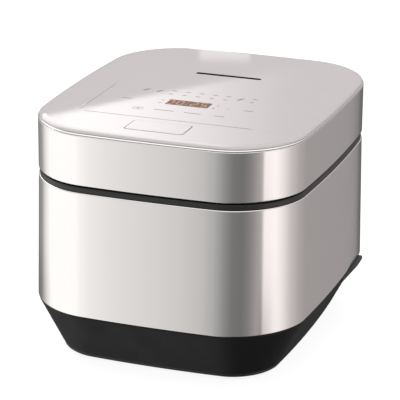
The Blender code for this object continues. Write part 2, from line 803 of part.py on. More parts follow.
def make_lid_case():
    """Sheet-steel lid band, bright trim and glossy top panel."""
    low = LID_BOTTOM
    high = LID_BAND_TOP - 0.0002
    band = (
        (0.0, low),
        (0.0, high),
        (0.0040, high),
        (0.0040, high - SHELL_WALL),
        (SHELL_WALL, high - SHELL_WALL),
        (SHELL_WALL, low + SHELL_WALL),
        (SHELL_LIP, low + SHELL_WALL),
        (SHELL_LIP, low),
    )
    shell = case_piece("lid_shell", band, SATIN_STEEL, False, lid_axis)
    notch = bmesh.new()
    box(notch, (-HINGE_CUT_HALF, 0.130, 0.165), (HINGE_CUT_HALF, 0.160, HINGE_CUT_TOP))
    combine(shell, cutter("lid_shell_notch", notch))
    trim = (
        (0.0004, LID_BAND_TOP + 0.0001),
        (0.0, LID_BAND_TOP + 0.0006),
        (0.0, LID_BAND_TOP + 0.0011),
        (0.0006, TRIM_TOP),
        (0.0038, TRIM_TOP),
        (0.0038, LID_BAND_TOP + 0.0001),
    )
    case_piece("lid_trim_ring", trim, BRIGHT_TRIM, False, lid_axis)
    panel = (
        (0.0010, TRIM_TOP + GAP),
        (0.0010, TRIM_TOP + 0.0010),
        (0.0018, TRIM_TOP + 0.0019),
        (0.0032, TRIM_TOP + 0.0025),
        (0.0050, PANEL_TOP),
    )
    top = case_piece("lid_top_panel", panel, PANEL_GLOSS, True, lid_axis)
    holes = bmesh.new()
    half_x, half_y = BUTTON_WIDTH / 2 + 0.0004, BUTTON_DEPTH / 2 + 0.0004
    box(
        holes,
        (BUTTON_X - half_x, BUTTON_Y - half_y, 0.21),
        (BUTTON_X + half_x, BUTTON_Y + half_y, 0.23),
    )
    box(holes, (-0.0310, STEAM_Y - 0.0027, 0.21), (0.0325, STEAM_Y + 0.0027, 0.23))
    combine(top, cutter("panel_holes", holes))


def make_lid_frame():
    """Inner lid plate with a skirt that drops inside the deck's rim."""
    top = 0.1775
    under = 0.1745
    section = (
        (0.0100, under),
        (0.0100, 0.1703),
        (0.0075, 0.1703),
        (0.0075, LID_BOTTOM + SHELL_WALL + GAP),
        (0.0013, LID_BOTTOM + SHELL_WALL + GAP),
        (0.0013, top),
    )
    frame = case_piece("lid_frame", section, GREY_PLASTIC, True, lid_axis)
    holes = bmesh.new()
    box(holes, (-HINGE_CUT_HALF, 0.1330, 0.16), (HINGE_CUT_HALF, 0.160, 0.19))
    box(holes, (-0.0070, -0.1390, 0.16), (0.0070, -0.1270, 0.19))
    rod(holes, (0, STEAM_Y, 0.16), (0, STEAM_Y, 0.19), 0.0125, 24)
    rod(holes, (0, -0.0800, 0.16), (0, -0.0800, 0.19), 0.0055, 16)
    combine(frame, cutter("lid_frame_holes", holes))


def make_inner_lid():
    """Removable steel disc, its gasket, the steam valve and the lid sensor."""
    disc_low, disc_high = 0.1720, 0.1735
    bm = bmesh.new()
    rod(bm, (0, POT_Y, disc_low), (0, POT_Y, disc_high), 0.0980, 48)
    disc = add_bmesh("inner_lid", bm, ALUMINIUM, lid_axis)
    holes = bmesh.new()
    rod(holes, (0, STEAM_Y, 0.16), (0, STEAM_Y, 0.19), 0.0112, 24)
    rod(holes, (0, -0.0800, 0.16), (0, -0.0800, 0.19), 0.0055, 16)
    combine(disc, cutter("inner_lid_holes", holes))
    lip = (
        (0.1060, 0.1742),
        (0.1060, 0.1722),
        (0.1040, 0.1690),
        (0.1012, 0.1690),
        (0.0984, 0.1712),
        (0.0984, 0.1742),
    )
    turned("lid_gasket", lip, (0.0, POT_Y), SILICONE, 36, True, lid_axis)
    valve = (
        (0.0109, 0.1850),
        (0.0109, 0.1690),
        (0.0050, 0.1670),
        (0.0050, 0.1685),
        (0.0090, 0.1700),
        (0.0090, 0.1850),
    )
    turned("steam_valve", valve, (0.0, STEAM_Y), GREY_PLASTIC, 24, True, lid_axis)
    stud = (
        (0.0, 0.1850),
        (0.0048, 0.1850),
        (0.0048, 0.1700),
        (0.0040, 0.1692),
        (0.0, 0.1692),
    )
    turned("lid_sensor", stud, (0.0, -0.0800), STEEL, 16, False, lid_axis)


def make_steam_duct():
    """Box that leads steam from the valve up to the slot in the top panel."""
    low, high = 0.1778, TRIM_TOP
    half = (0.0350, 0.0190)
    bm = bmesh.new()
    box(bm, (-half[0], STEAM_Y - half[1], low), (half[0], STEAM_Y + half[1], high))
    duct = add_bmesh("steam_duct", bm, BLACK_PLASTIC, lid_axis)
    wall = 0.0015
    hollow = bmesh.new()
    inner = (half[0] - wall, half[1] - wall)
    box(
        hollow,
        (-inner[0], STEAM_Y - inner[1], low + wall),
        (inner[0], STEAM_Y + inner[1], high + 0.01),
    )
    combine(duct, cutter("duct_hollow", hollow))
    mouth = bmesh.new()
    rod(mouth, (0, STEAM_Y, low - 0.01), (0, STEAM_Y, low + 0.005), 0.0112, 24)
    combine(duct, cutter("duct_mouth", mouth))


def make_controls():
    """Control board under the panel and the display on it."""
    board_top = 0.2136
    bm = bmesh.new()
    box(bm, (-0.0700, -0.0940, board_top - 0.0016), (0.0700, 0.0300, board_top))
    add_bmesh("control_board", bm, BOARD_GREEN, lid_axis)
    bm = bmesh.new()
    box(bm, (-0.0250, -0.0455, board_top + GAP), (0.0190, -0.0295, TRIM_TOP))
    add_bmesh("display_module", bm, DISPLAY_AMBER, lid_axis)


def make_button():
    """Lid-release button with its guide box and return spring."""
    half_x, half_y = BUTTON_WIDTH / 2, BUTTON_DEPTH / 2
    under = TRIM_TOP - 0.0003
    flange_low = under - 0.0010
    bm = bmesh.new()
    box(
        bm,
        (BUTTON_X - half_x, BUTTON_Y - half_y, under - 0.0005),
        (BUTTON_X + half_x, BUTTON_Y + half_y, BUTTON_TOP),
    )
    upright = [e for e in bm.edges if abs((e.verts[0].co - e.verts[1].co).z) > 0.001]
    bmesh.ops.bevel(
        bm,
        geom=upright,
        offset=0.0030,
        segments=4,
        profile=0.5,
        affect="EDGES",
    )
    button = add_bmesh("lid_button", bm, PANEL_GLOSS, button_axis)
    lower = bmesh.new()
    box(
        lower,
        (BUTTON_X - half_x - 0.0015, BUTTON_Y - half_y - 0.0010, flange_low),
        (BUTTON_X + half_x + 0.0015, BUTTON_Y + half_y + 0.0010, under),
    )
    combine(button, cutter("button_flange", lower), "UNION")
    stem = bmesh.new()
    rod(stem, (BUTTON_X, BUTTON_Y, 0.2016), (BUTTON_X, BUTTON_Y, under - 0.0002), 0.0030, 16)
    combine(button, cutter("button_stem", stem), "UNION")
    floor = 0.2070
    wall = 0.0015
    reach = (half_x + 0.0030, half_y + 0.0022)
    bm = bmesh.new()
    box(
        bm,
        (BUTTON_X - reach[0] - wall, BUTTON_Y - reach[1] - wall, floor),
        (BUTTON_X + reach[0] + wall, BUTTON_Y + reach[1] + wall, TRIM_TOP),
    )
    housing = add_bmesh("button_housing", bm, GREY_PLASTIC, lid_axis)
    hollow = bmesh.new()
    box(
        hollow,
        (BUTTON_X - reach[0], BUTTON_Y - reach[1], floor + wall),
        (BUTTON_X + reach[0], BUTTON_Y + reach[1], 0.23),
    )
    combine(housing, cutter("button_hollow", hollow))
    guide = bmesh.new()
    rod(guide, (BUTTON_X, BUTTON_Y, floor - 0.01), (BUTTON_X, BUTTON_Y, floor + 0.003), 0.0034, 16)
    combine(housing, cutter("button_guide", guide))
    low = (BUTTON_X, BUTTON_Y, floor + wall + GAP + 0.0006)
    high = (BUTTON_X, BUTTON_Y, flange_low - GAP - 0.0006)
    coil("button_spring", low, high, 0.0050, 0.0005, 3.5, STEEL, lid_axis)


def make_latch():
    """Hook on a cross pin in the lid, its bracket, and the strike on the deck."""
    ring = 0.0045
    hook = arc((LATCH_Y, LATCH_Z), ring, 60.0, 282.0, 12)
    hook += [
        (LATCH_Y + 0.0010, 0.1555),
        (LATCH_Y + 0.0040, 0.1555),
        (LATCH_Y + 0.0073, 0.1588),
        (LATCH_Y + 0.0073, 0.1602),
        (LATCH_Y + 0.0050, 0.1602),
        (LATCH_Y + 0.0050, 0.1945),
        (LATCH_Y + 0.0080, 0.1970),
        (LATCH_Y + 0.0250, 0.1970),
        (LATCH_Y + 0.0250, 0.2005),
    ]
    bore = circle((LATCH_Y, LATCH_Z), 0.0023)
    side_piece("latch_hook", [hook, bore], 0.0, 0.0100, STEEL, hook_axis)
    pin = bmesh.new()
    rod(pin, (-0.0100, LATCH_Y, LATCH_Z), (0.0100, LATCH_Y, LATCH_Z), 0.0020, 16)
    add_bmesh("latch_pin", pin, STEEL, lid_axis)
    front, back = LATCH_Y - 0.0078, LATCH_Y + 0.0050
    bm = bmesh.new()
    box(bm, (-0.0095, front, 0.1778), (0.0095, back, 0.2045))
    bracket = add_bmesh("latch_bracket", bm, BLACK_PLASTIC, lid_axis)
    opening = bmesh.new()
    box(opening, (-0.0062, front + 0.0022, 0.17), (0.0062, back + 0.01, 0.21))
    combine(bracket, cutter("latch_opening", opening))
    bores = bmesh.new()
    rod(bores, (-0.02, LATCH_Y, LATCH_Z), (0.02, LATCH_Y, LATCH_Z), 0.0023, 16)
    combine(bracket, cutter("latch_bores", bores))
    catch_top = DECK_TOP - DECK_THICKNESS - GAP
    strike = bmesh.new()
    box(strike, (-0.0110, -0.1272, catch_top - 0.0027), (0.0110, -0.1238, catch_top))
    add_bmesh("latch_catch", strike, STEEL)


make_feet()
make_bottom_plate()
make_base_skirt()
make_posts_and_screws()
make_body_shell()
make_side_bumpers()
make_inlet()
make_top_deck()
make_hinge()
make_hinge_arms()
make_inner_pot()
make_pot_well()
make_heater()
make_sensor()
make_electronics()
make_lid_case()
make_lid_frame()
make_inner_lid()
make_steam_duct()
make_controls()
make_button()
make_latch()
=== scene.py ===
import math

import bmesh
import bpy
from mathutils import Matrix, Quaternion, Vector


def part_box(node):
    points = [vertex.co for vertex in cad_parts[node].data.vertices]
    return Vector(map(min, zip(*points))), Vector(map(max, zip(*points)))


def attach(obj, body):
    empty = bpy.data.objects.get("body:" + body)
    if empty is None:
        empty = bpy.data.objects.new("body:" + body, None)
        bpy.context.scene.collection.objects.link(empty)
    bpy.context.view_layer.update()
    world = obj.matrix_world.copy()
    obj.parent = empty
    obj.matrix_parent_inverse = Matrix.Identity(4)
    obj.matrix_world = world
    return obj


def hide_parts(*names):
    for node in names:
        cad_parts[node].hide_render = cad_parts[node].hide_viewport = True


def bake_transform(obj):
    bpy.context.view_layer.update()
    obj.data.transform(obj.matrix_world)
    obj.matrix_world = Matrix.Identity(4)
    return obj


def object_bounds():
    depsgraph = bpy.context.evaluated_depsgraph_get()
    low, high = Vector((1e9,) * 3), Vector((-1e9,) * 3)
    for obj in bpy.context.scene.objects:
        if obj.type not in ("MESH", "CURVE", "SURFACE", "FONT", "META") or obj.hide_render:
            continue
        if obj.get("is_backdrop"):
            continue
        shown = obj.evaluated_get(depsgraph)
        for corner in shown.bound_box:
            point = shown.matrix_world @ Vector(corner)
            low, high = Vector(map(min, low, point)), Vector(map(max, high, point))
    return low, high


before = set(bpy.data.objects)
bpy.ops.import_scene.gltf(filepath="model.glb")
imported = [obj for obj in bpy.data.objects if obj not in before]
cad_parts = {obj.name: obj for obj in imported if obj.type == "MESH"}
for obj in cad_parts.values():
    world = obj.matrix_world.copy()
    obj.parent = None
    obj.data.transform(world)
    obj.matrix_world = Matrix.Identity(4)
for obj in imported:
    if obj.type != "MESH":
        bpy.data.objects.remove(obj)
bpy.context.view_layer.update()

room = bpy.context.scene.collection


# ---- Rubber feet ----------------------------------------------------------
# Four black rubber feet, each pushed up through a hole in the bottom plate
# until its waist snaps in. Soft moulded rubber, dusty matt, with a rounded rim.


def surface(name, colour, gloss, metal=0.0, mottle=0.05, cloud=45.0, grain=1300.0, relief=0.00001):
    """A finish with cloudy colour, uneven gloss and a fine grain that stands in relief."""
    material = bpy.data.materials.new(name)
    material.use_nodes = True
    nodes, links = material.node_tree.nodes, material.node_tree.links
    shader = nodes["Principled BSDF"]
    shader.inputs["Metallic"].default_value = metal
    place = nodes.new("ShaderNodeTexCoord")
    patches = nodes.new("ShaderNodeTexNoise")
    patches.inputs["Scale"].default_value = cloud
    patches.inputs["Detail"].default_value = 4.0
    links.new(place.outputs["Object"], patches.inputs["Vector"])
    tint = nodes.new("ShaderNodeMix")
    tint.data_type = "RGBA"
    tint.inputs["A"].default_value = (*[c * (1.0 - mottle) for c in colour], 1.0)
    tint.inputs["B"].default_value = (*[min(1.0, c * (1.0 + mottle)) for c in colour], 1.0)
    links.new(patches.outputs["Fac"], tint.inputs["Factor"])
    links.new(tint.outputs["Result"], shader.inputs["Base Color"])
    pores = nodes.new("ShaderNodeTexNoise")
    pores.inputs["Scale"].default_value = grain
    pores.inputs["Detail"].default_value = 3.0
    links.new(place.outputs["Object"], pores.inputs["Vector"])
    uneven = nodes.new("ShaderNodeMapRange")
    uneven.inputs["From Min"].default_value = 0.3
    uneven.inputs["From Max"].default_value = 0.7
    uneven.inputs["To Min"].default_value = gloss * 0.88
    uneven.inputs["To Max"].default_value = min(1.0, gloss * 1.14)
    links.new(patches.outputs["Fac"], uneven.inputs["Value"])
    links.new(uneven.outputs["Result"], shader.inputs["Roughness"])
    bump = nodes.new("ShaderNodeBump")
    bump.inputs["Strength"].default_value = 0.6
    bump.inputs["Distance"].default_value = relief
    links.new(pores.outputs["Fac"], bump.inputs["Height"])
    links.new(bump.outputs["Normal"], shader.inputs["Normal"])
    return material


WELD = 0.000001  # points closer than this are one
LONG_RUN = 0.004  # a straight run longer than this gets a point near each end
NEAR_END = 0.0005


def rounded(corners):
    """A closed section as points. Each corner is (across, up, radius of its round)."""
    flat = bmesh.new()
    verts = [flat.verts.new((across, up, 0.0)) for across, up, _ in corners]
    flat.faces.new(verts)
    for radius in sorted({corner[2] for corner in corners if corner[2]}):
        chosen = [v for v, corner in zip(verts, corners) if corner[2] == radius]
        bmesh.ops.bevel(flat, geom=chosen, offset=radius, segments=5, profile=0.5,
                        affect="VERTICES", material=-1)
    flat.faces.ensure_lookup_table()
    line = [v.co.xy for v in flat.faces[0].verts]
    points = []
    for here, after in zip(line, line[1:] + line[:1]):
        points.append(here.copy())
        length = (after - here).length
        if length > LONG_RUN:
            points += [here.lerp(after, NEAR_END / length), after.lerp(here, NEAR_END / length)]
    flat.free()
    return points


def piece(name, bm, material, body, replaced=(), crease=40.0):
    """Makes a finished mesh into a named piece that moves with its body, if it has just one."""
    mesh = bpy.data.meshes.new(name)
    bm.to_mesh(mesh)
    bm.free()
    mesh.shade_smooth()
    mesh.set_sharp_from_angle(angle=math.radians(crease))
    mesh.materials.append(material)
    made = bpy.data.objects.new(name, mesh)
    room.objects.link(made)
    if body:
        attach(made, body)
    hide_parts(*replaced)
    return made


def turn(corners, centre, steps=72):
    """Turns a section about an upright axis. Each corner is (radius, height, round)."""
    bm = bmesh.new()
    ring = [bm.verts.new((max(0.0, point.x), 0.0, point.y)) for point in rounded(corners)]
    edges = []
    for a, b in zip(ring, ring[1:] + ring[:1]):
        if max(a.co.x, b.co.x) > WELD:
            edges.append(bm.edges.new((a, b)))
    bmesh.ops.spin(bm, geom=ring + edges, cent=(0, 0, 0), axis=(0, 0, 1),
                   angle=2 * math.pi, steps=steps, use_merge=True, use_duplicate=False)
    bmesh.ops.remove_doubles(bm, verts=bm.verts, dist=WELD)
    bmesh.ops.recalc_face_normals(bm, faces=bm.faces)
    bmesh.ops.translate(bm, verts=bm.verts, vec=(*centre, 0.0))
    return bm


rubber = surface("foot_rubber", (0.016, 0.016, 0.016), 0.78, mottle=0.25, grain=2200.0, relief=0.00003)
foot_section = [
    (0.0, 0.0075, 0), (0.0026, 0.0075, 0.0006), (0.0030, 0.0062, 0), (0.0030, 0.0027, 0),
    (0.0090, 0.0027, 0.0007), (0.0090, 0.0, 0.0012), (0.0030, 0.0, 0.0003),
    (0.0024, 0.0006, 0.0002), (0.0, 0.0006, 0),
]
QUARTERS = ("front_left", "front_right", "rear_left", "rear_right")
for quarter in QUARTERS:
    low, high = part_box("foot_" + quarter)
    middle = (low + high) / 2
    piece("rubber_foot_" + quarter, turn(foot_section, middle.xy, 48), rubber, "root",
          ["foot_" + quarter])


# ---- Bottom plate ---------------------------------------------------------
# Moulded plate that closes the base: cooling slots for the fan at one side and
# at the front, holes for the feet, sunk holes for the four case screws, and
# short posts on top that carry the coil and the power board.

HALF_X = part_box("lid_shell")[1].x
HALF_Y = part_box("lid_shell")[1].y
CORNER = 0.060
FRONT_BOW = 0.040  # how far the ends of the front drop back, as a share of half the depth
SIDE_BOW = 0.054


def case_plan():
    """The case seen from above, before its sides are bowed: a plate with round corners."""
    flat = bmesh.new()
    bmesh.ops.create_grid(flat, x_segments=1, y_segments=1, size=1.0)
    bmesh.ops.scale(flat, verts=flat.verts, vec=(HALF_X, HALF_Y, 1.0))
    bmesh.ops.bevel(flat, geom=flat.verts[:], offset=CORNER, segments=22, profile=0.5,
                    affect="VERTICES", material=-1)
    sides = [edge for edge in flat.edges if edge.calc_length() > CORNER / 2]
    bmesh.ops.subdivide_edges(flat, edges=sides, cuts=13)
    flat.faces.ensure_lookup_table()
    points = [v.co.xy.copy() for v in flat.faces[0].verts]
    flat.free()
    return points


PLAN = case_plan()


def on_case(point, inset, height):
    """Where a point of the plan lies, pulled in by a distance, at a height."""
    straight_x, straight_y = HALF_X - CORNER, HALF_Y - CORNER
    core = Vector((max(-straight_x, min(straight_x, point.x)),
                   max(-straight_y, min(straight_y, point.y))))
    x, y = point - inset * (point - core).normalized()
    along, across = y / (HALF_Y - inset), x / (HALF_X - inset)
    return Vector((x * (1 - SIDE_BOW * along**2), y * (1 - FRONT_BOW * across**2), height))


def sweep(corners, capped=False):
    """Carries a section of (inset, height, round) corners round the case.
    A capped one is a plate: its first and last corners end in flat faces."""
    section = rounded(corners)
    if capped:  # drop the run that closes the section, which the two faces stand for
        first = min(range(len(section)), key=lambda i: (section[i] - Vector(corners[0][:2])).length)
        section = section[first:] + section[:first]
        last = min(range(len(section)), key=lambda i: (section[i] - Vector(corners[-1][:2])).length)
        section = section[:last + 1]
    bm = bmesh.new()
    loop = [bm.verts.new(on_case(point, *section[0])) for point in PLAN]
    edges = [bm.edges.new(pair) for pair in zip(loop, loop[1:] + loop[:1])]
    if capped:
        bmesh.ops.contextual_create(bm, geom=edges)
    for inset, height in section[1:] if capped else section[1:] + section[:1]:
        ring = [bm.edges.get(pair) for pair in zip(loop, loop[1:] + loop[:1])]
        made = bmesh.ops.extrude_edge_only(bm, edges=ring)["geom"]
        fresh = {item for item in made if isinstance(item, bmesh.types.BMVert)}
        grown = []
        for vert, point in zip(loop, PLAN):
            top = next(e.other_vert(vert) for e in vert.link_edges if e.other_vert(vert) in fresh)
            top.co = on_case(point, inset, height)
            grown.append(top)
        loop = grown
    if capped:
        bmesh.ops.contextual_create(bm, geom=[bm.edges.get(p) for p in zip(loop, loop[1:] + loop[:1])])
    bmesh.ops.remove_doubles(bm, verts=bm.verts, dist=WELD)
    bmesh.ops.recalc_face_normals(bm, faces=bm.faces)
    return bm


def block(bm, low, high, soft=0.0, corner=0.0):
    """A box between two corners; its upright edges take one round and the rest another."""
    low, high = Vector(low), Vector(high)
    place = Matrix.Translation((low + high) / 2) @ Matrix.Diagonal((*(high - low), 1.0))
    verts = bmesh.ops.create_cube(bm, size=1.0, matrix=place)["verts"]
    edges = {edge for vert in verts for edge in vert.link_edges}
    if corner:
        upright = [e for e in edges if abs((e.verts[0].co - e.verts[1].co).normalized().z) > 0.9]
        made = bmesh.ops.bevel(bm, geom=upright, offset=corner, segments=6, profile=0.5,
                               affect="EDGES", material=-1)
        edges = {e for f in made["faces"] for v in f.verts for e in v.link_edges}
    if soft:
        sharp = [e for e in edges if e.is_valid and e.calc_face_angle(0.0) > 0.7]
        bmesh.ops.bevel(bm, geom=sharp, offset=soft, segments=3, profile=0.5,
                        affect="EDGES", material=-1)


def rod(bm, start, end, radius, sides=32):
    """A round bar between two points."""
    start, end = Vector(start), Vector(end)
    run = end - start
    place = Matrix.Translation((start + end) / 2) @ run.to_track_quat("Z", "Y").to_matrix().to_4x4()
    bmesh.ops.create_cone(bm, cap_ends=True, segments=sides, radius1=radius, radius2=radius,
                          depth=run.length, matrix=place)


def cut(thing, tool, way="DIFFERENCE"):
    """Cuts a closed shape out of a piece, or joins it on, for good."""
    mesh = bpy.data.meshes.new("tool")
    tool.to_mesh(mesh)
    tool.free()
    shape = bpy.data.objects.new("tool", mesh)
    room.objects.link(shape)
    boolean = thing.modifiers.new("cut", "BOOLEAN")
    boolean.operation = way
    boolean.solver = "EXACT"
    boolean.object = shape
    graph = bpy.context.evaluated_depsgraph_get()
    thing.data = bpy.data.meshes.new_from_object(thing.evaluated_get(graph))
    thing.modifiers.clear()
    bpy.data.objects.remove(shape)
    thing.data.shade_smooth()
    thing.data.set_sharp_from_angle(angle=math.radians(40.0))
    return thing


black_mould = surface("black_moulding", (0.011, 0.011, 0.011), 0.46, mottle=0.12, grain=1500.0,
                      relief=0.00003)
PLATE_EDGE = 0.0214
plate_low, plate_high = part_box("bottom_plate")[0].z, 0.0065
plate = piece("base_plate", sweep([
    (PLATE_EDGE + 0.0046, plate_low, 0), (PLATE_EDGE + 0.0018, plate_low, 0.0006),
    (PLATE_EDGE, plate_low + 0.0013, 0.0006), (PLATE_EDGE, plate_high, 0.0002),
    (PLATE_EDGE + 0.0012, plate_high, 0),
], capped=True), black_mould, "root", ["bottom_plate"])

POT_Y = -0.018  # the pot, its coil and its sensor stand on one upright axis
COIL_POST_X, COIL_POST_REACH, COIL_POST_TOP = 0.055, 0.040, 0.0307
BOARD_POSTS_X, BOARD_POSTS_Y, BOARD_POST_TOP = (-0.002, 0.066), (0.084, 0.106), 0.0117
post_foot = plate_high - 0.001
posts = bmesh.new()
for x in (-COIL_POST_X, COIL_POST_X):
    for y in (POT_Y - COIL_POST_REACH, POT_Y + COIL_POST_REACH):
        rod(posts, (x, y, post_foot), (x, y, COIL_POST_TOP), 0.0035)
for x in BOARD_POSTS_X:
    for y in BOARD_POSTS_Y:
        rod(posts, (x, y, post_foot), (x, y, BOARD_POST_TOP), 0.0030)
cut(plate, posts, "UNION")

FOOT_X, FOOT_Y, FOOT_HOLE = 0.070, 0.088, 0.0033
SCREW_X, SCREW_Y, SCREW_HOLE, SINK, SINK_TOP = 0.082, 0.104, 0.0019, 0.0042, 0.005
THROUGH = 0.01  # a height above the plate's top
holes, sinks = bmesh.new(), bmesh.new()
for side in (-1, 1):
    for end in (-1, 1):
        foot_x, foot_y, screw_x, screw_y = side * FOOT_X, end * FOOT_Y, side * SCREW_X, end * SCREW_Y
        rod(holes, (foot_x, foot_y, 0.0), (foot_x, foot_y, THROUGH), FOOT_HOLE)
        rod(holes, (screw_x, screw_y, 0.0), (screw_x, screw_y, THROUGH), SCREW_HOLE)
        rod(sinks, (screw_x, screw_y, 0.0), (screw_x, screw_y, SINK_TOP), SINK)

AIR_HALF, AIR_ROUND = 0.0018, 0.0017
FAN_X, FAN_PITCH, FAN_Y = -0.046, 0.007, (0.042, 0.082)
INTAKE_PITCH, INTAKE_Y = 0.008, (-0.112, -0.086)
for index in range(-3, 4):
    x = FAN_X + index * FAN_PITCH
    block(holes, (x - AIR_HALF, FAN_Y[0], 0.0), (x + AIR_HALF, FAN_Y[1], THROUGH), corner=AIR_ROUND)
    x = index * INTAKE_PITCH
    block(holes, (x - AIR_HALF, INTAKE_Y[0], 0.0), (x + AIR_HALF, INTAKE_Y[1], THROUGH), corner=AIR_ROUND)
cut(plate, holes)
cut(plate, sinks)


# ---- Base skirt -----------------------------------------------------------
# Charcoal moulded base that tapers in towards the table. One injection
# moulding with a fine spark texture, its top edge tucked under the metal body.

skirt_low, skirt_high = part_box("base_skirt")[0].z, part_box("base_skirt")[1].z
charcoal = surface("charcoal_moulding", (0.0042, 0.0047, 0.0045), 0.50, mottle=0.10, grain=1500.0,
                   relief=0.00004)
charcoal.node_tree.nodes["Principled BSDF"].inputs["Specular IOR Level"].default_value = 0.25
BASE_INSET, BASE_TOP, BASE_WALL = 0.0204, -0.0014, 0.0025
skirt_shoulder = skirt_high - 0.0012
piece("base_moulding", sweep([
    (BASE_INSET, skirt_low, 0.0006), (BASE_TOP, skirt_shoulder, 0.0009), (BASE_TOP, skirt_high, 0.0003),
    (BASE_TOP + BASE_WALL, skirt_high, 0), (BASE_TOP + BASE_WALL, skirt_shoulder, 0),
    (BASE_INSET + BASE_WALL, skirt_low, 0),
]), charcoal, "root", ["base_skirt"])


# ---- Metal body -----------------------------------------------------------
# Sheet steel rolled to the case's outline, with a lip turned in at the top and
# the bottom. Satin, champagne tinted, under a clear lacquer. The hole at the
# rear takes the mains inlet.


def satin(name, colour):
    """Satin lacquered steel: faint clouding and a fine grain under a thin clear coat."""
    material = surface(name, colour, 0.12, metal=1.0, mottle=0.012, cloud=18.0, grain=2600.0,
                       relief=0.0000015)
    shader = material.node_tree.nodes["Principled BSDF"]
    shader.inputs["Coat Weight"].default_value = 0.25
    shader.inputs["Coat Roughness"].default_value = 0.10
    shader.inputs["Coat IOR"].default_value = 1.45
    return material


steel_skin = satin("champagne_satin", (0.90, 0.878, 0.866))
body_low, body_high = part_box("body_shell")[0].z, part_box("body_shell")[1].z
SHEET = 0.0008
FLARE, TOP_LIP, FOOT_LIP = 0.0020, 0.0050, 0.0030
body = piece("metal_body", sweep([
    (-FLARE, body_low, 0.0009), (0.0, body_high, 0.0009), (TOP_LIP, body_high, 0),
    (TOP_LIP, body_high - SHEET, 0), (SHEET, body_high - SHEET, 0),
    (SHEET - FLARE, body_low + SHEET, 0), (FOOT_LIP, body_low + SHEET, 0), (FOOT_LIP, body_low, 0),
]), steel_skin, "root", ["body_shell"])
INLET_HALF, INLET_LOW, INLET_HIGH, INLET_GAP = 0.0170, 0.0600, 0.0860, 0.0005
opening = bmesh.new()
block(opening, (-INLET_HALF - INLET_GAP, 0.140, INLET_LOW - INLET_GAP),
      (INLET_HALF + INLET_GAP, 0.165, INLET_HIGH + INLET_GAP))
cut(body, opening)


# ---- Side bumpers ---------------------------------------------------------
# Two black moulded lips, clipped under the metal at each side towards the rear.
# They keep the case off a wall. Each one rises out of the base at its front end.

lip_low, lip_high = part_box("side_bumper_left")[0].z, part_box("side_bumper_left")[1].z
LIP_BACK, LIP_EDGE = -0.0017, -0.0052
UNDER, OVER = 0.04, 0.06  # heights below and above the lips
lip_plan = [(0.1150, 0.0240), (0.1266, 0.0260), (0.1272, 0.0420), (0.1281, 0.0620),
            (0.1300, 0.0800), (0.1300, 0.0870), (0.1268, 0.0895), (0.1150, 0.0895)]
for side, sign in (("left", -1), ("right", 1)):
    lip = piece("side_bumper_lip_" + side, sweep([
        (LIP_BACK, lip_high, 0), (LIP_EDGE + 0.0005, lip_high, 0.0003),
        (LIP_EDGE, lip_high - 0.0010, 0.0003), (LIP_EDGE, lip_high - 0.0033, 0.0006),
        (-0.0003, lip_low, 0.0003), (LIP_BACK, lip_high - 0.0011, 0),
    ]), black_mould, "root", ["side_bumper_" + side])
    keep = bmesh.new()
    sole = keep.faces.new([keep.verts.new((sign * x, y, UNDER)) for x, y in lip_plan])
    raised = bmesh.ops.extrude_face_region(keep, geom=[sole], use_keep_orig=True)["geom"]
    crown = [item for item in raised if isinstance(item, bmesh.types.BMVert)]
    bmesh.ops.translate(keep, verts=crown, vec=(0.0, 0.0, OVER - UNDER))
    bmesh.ops.recalc_face_normals(keep, faces=keep.faces)
    cut(lip, keep, "INTERSECT")


# ---- Mains inlet ----------------------------------------------------------
# Three-pin appliance inlet, a black moulding with its nickel-plated pins
# moulded in, held by its flange in the rear wall.

inlet_low, inlet_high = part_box("inlet_socket")
inlet = bmesh.new()
block(inlet, (-INLET_HALF, inlet_low.y, INLET_LOW), (INLET_HALF, inlet_high.y - 0.0010, INLET_HIGH),
      soft=0.0006)
socket = piece("mains_inlet", inlet, black_mould, "root", ["inlet_socket"])
flange = bmesh.new()
block(flange, (inlet_low.x, inlet_high.y - 0.0019, inlet_low.z), inlet_high, soft=0.0007)
cut(socket, flange, "UNION")
RECESS_HALF, RECESS_FLOOR, RECESS_LOW, RECESS_HIGH = 0.0120, 0.1359, 0.0650, 0.0810
recess = bmesh.new()
block(recess, (-RECESS_HALF, RECESS_FLOOR, RECESS_LOW), (RECESS_HALF, 0.1650, RECESS_HIGH))
cut(socket, recess)
plated = surface("nickel_plate", (0.62, 0.60, 0.56), 0.24, metal=1.0, grain=3000.0, relief=0.000004)
PIN_X, PIN_Z, EARTH_Z, PIN_TIP = 0.0070, 0.0740, 0.0775, 0.1489
pins = bmesh.new()
for x, z in ((-PIN_X, PIN_Z), (0.0, EARTH_Z), (PIN_X, PIN_Z)):
    block(pins, (x - 0.0010, RECESS_FLOOR - 0.0003, z - 0.0020), (x + 0.0010, PIN_TIP, z + 0.0020),
          soft=0.0004)
piece("inlet_pins", pins, plated, "root")


# ---- Deck -----------------------------------------------------------------
# Black frame that sits in the top of the body: a rounded rim that the lid
# closes on, a flat plate with the pot's hole, and the slot for the latch hook.

